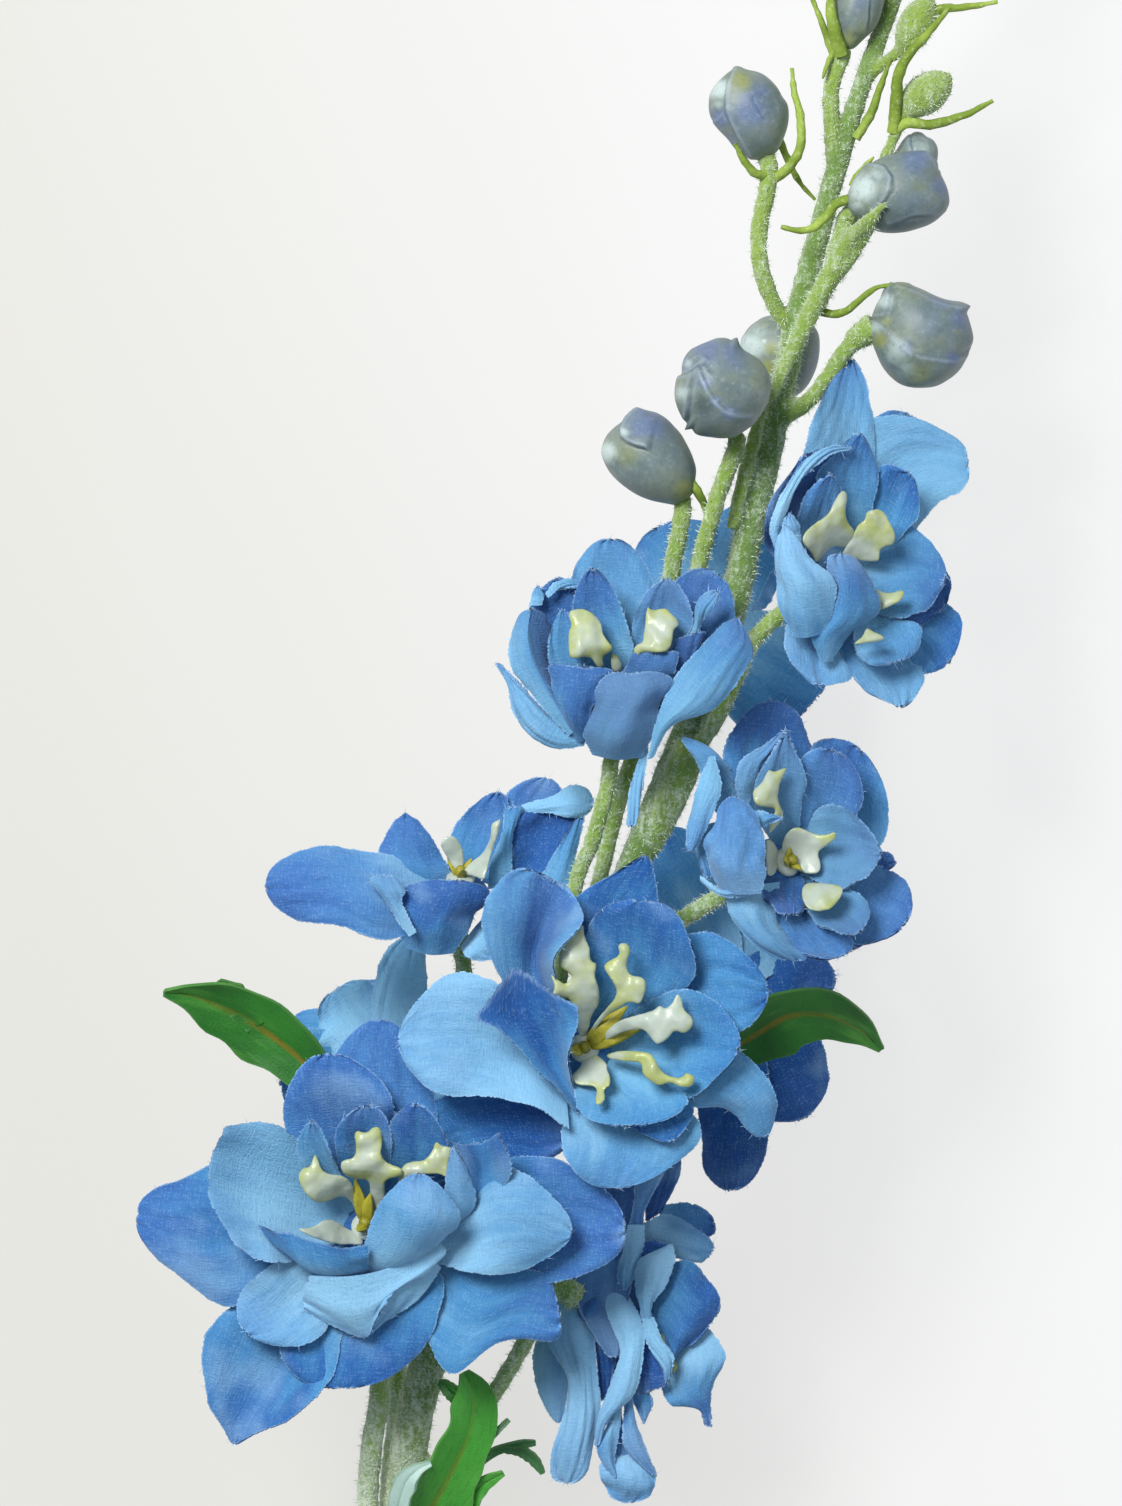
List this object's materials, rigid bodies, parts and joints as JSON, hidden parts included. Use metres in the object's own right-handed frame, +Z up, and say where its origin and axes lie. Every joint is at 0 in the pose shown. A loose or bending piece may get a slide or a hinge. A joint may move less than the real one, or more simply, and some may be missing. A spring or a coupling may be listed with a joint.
{
  "type": "artificial delphinium flower spike",
  "caption": "Cut artificial flower spike lying on its side: blue cloth flowers with pale moulded stamens, blue-green buds, flocked green stem and green leaves.",
  "frame": {"origin": "middle of the bounding box's underside, on the surface the spike lies on", "axes": "+Y along the stem from the cut end to the tip, +Z up through the flowers that face the viewer, +X to the right of the stem as seen from above"},
  "size_m": [0.1354, 0.4052, 0.0855],
  "materials": {
    "petals": "dyed cloth, sky blue at the root to cornflower blue at the tip, matt with a soft sheen",
    "stamens": "moulded, pale yellow-green, slightly see-through",
    "pistil": "moulded, olive yellow",
    "bud": "moulded, satin, slate blue at the tip fading to grey-green",
    "leaf": "printed green cloth with a paler midrib",
    "stem": "green with a coat of whitish flock"
  },
  "bodies": {
    "root": {"bud_behind": "bud", "bud_high_left": "bud", "bud_high_middle": "bud", "bud_right": "bud", "bud_small_right": "bud", "bud_top_left": "bud", "bud_upper_left": "bud", "bud_upper_right": "bud", "leaf_left": "leaf", "leaf_low": "leaf", "leaf_low_back": "leaf", "leaf_right": "leaf", "petals_back_high": "petals", "petals_back_left": "petals", "petals_back_right": "petals", "petals_high_front": "petals", "petals_high_right": "petals", "petals_left_side": "petals", "petals_low_front": "petals", "petals_low_side": "petals", "petals_middle_front": "petals", "petals_right_front": "petals", "pistil_back_high": "pistil", "pistil_back_left": "pistil", "pistil_back_right": "pistil", "pistil_high_front": "pistil", "pistil_high_right": "pistil", "pistil_left_side": "pistil", "pistil_low_front": "pistil", "pistil_low_side": "pistil", "pistil_middle_front": "pistil", "pistil_right_front": "pistil", "stamens_back_high": "stamens", "stamens_back_left": "stamens", "stamens_back_right": "stamens", "stamens_high_front": "stamens", "stamens_high_right": "stamens", "stamens_left_side": "stamens", "stamens_low_front": "stamens", "stamens_low_side": "stamens", "stamens_middle_front": "stamens", "stamens_right_front": "stamens", "stem": "stem"}
  },
  "joints": []
}
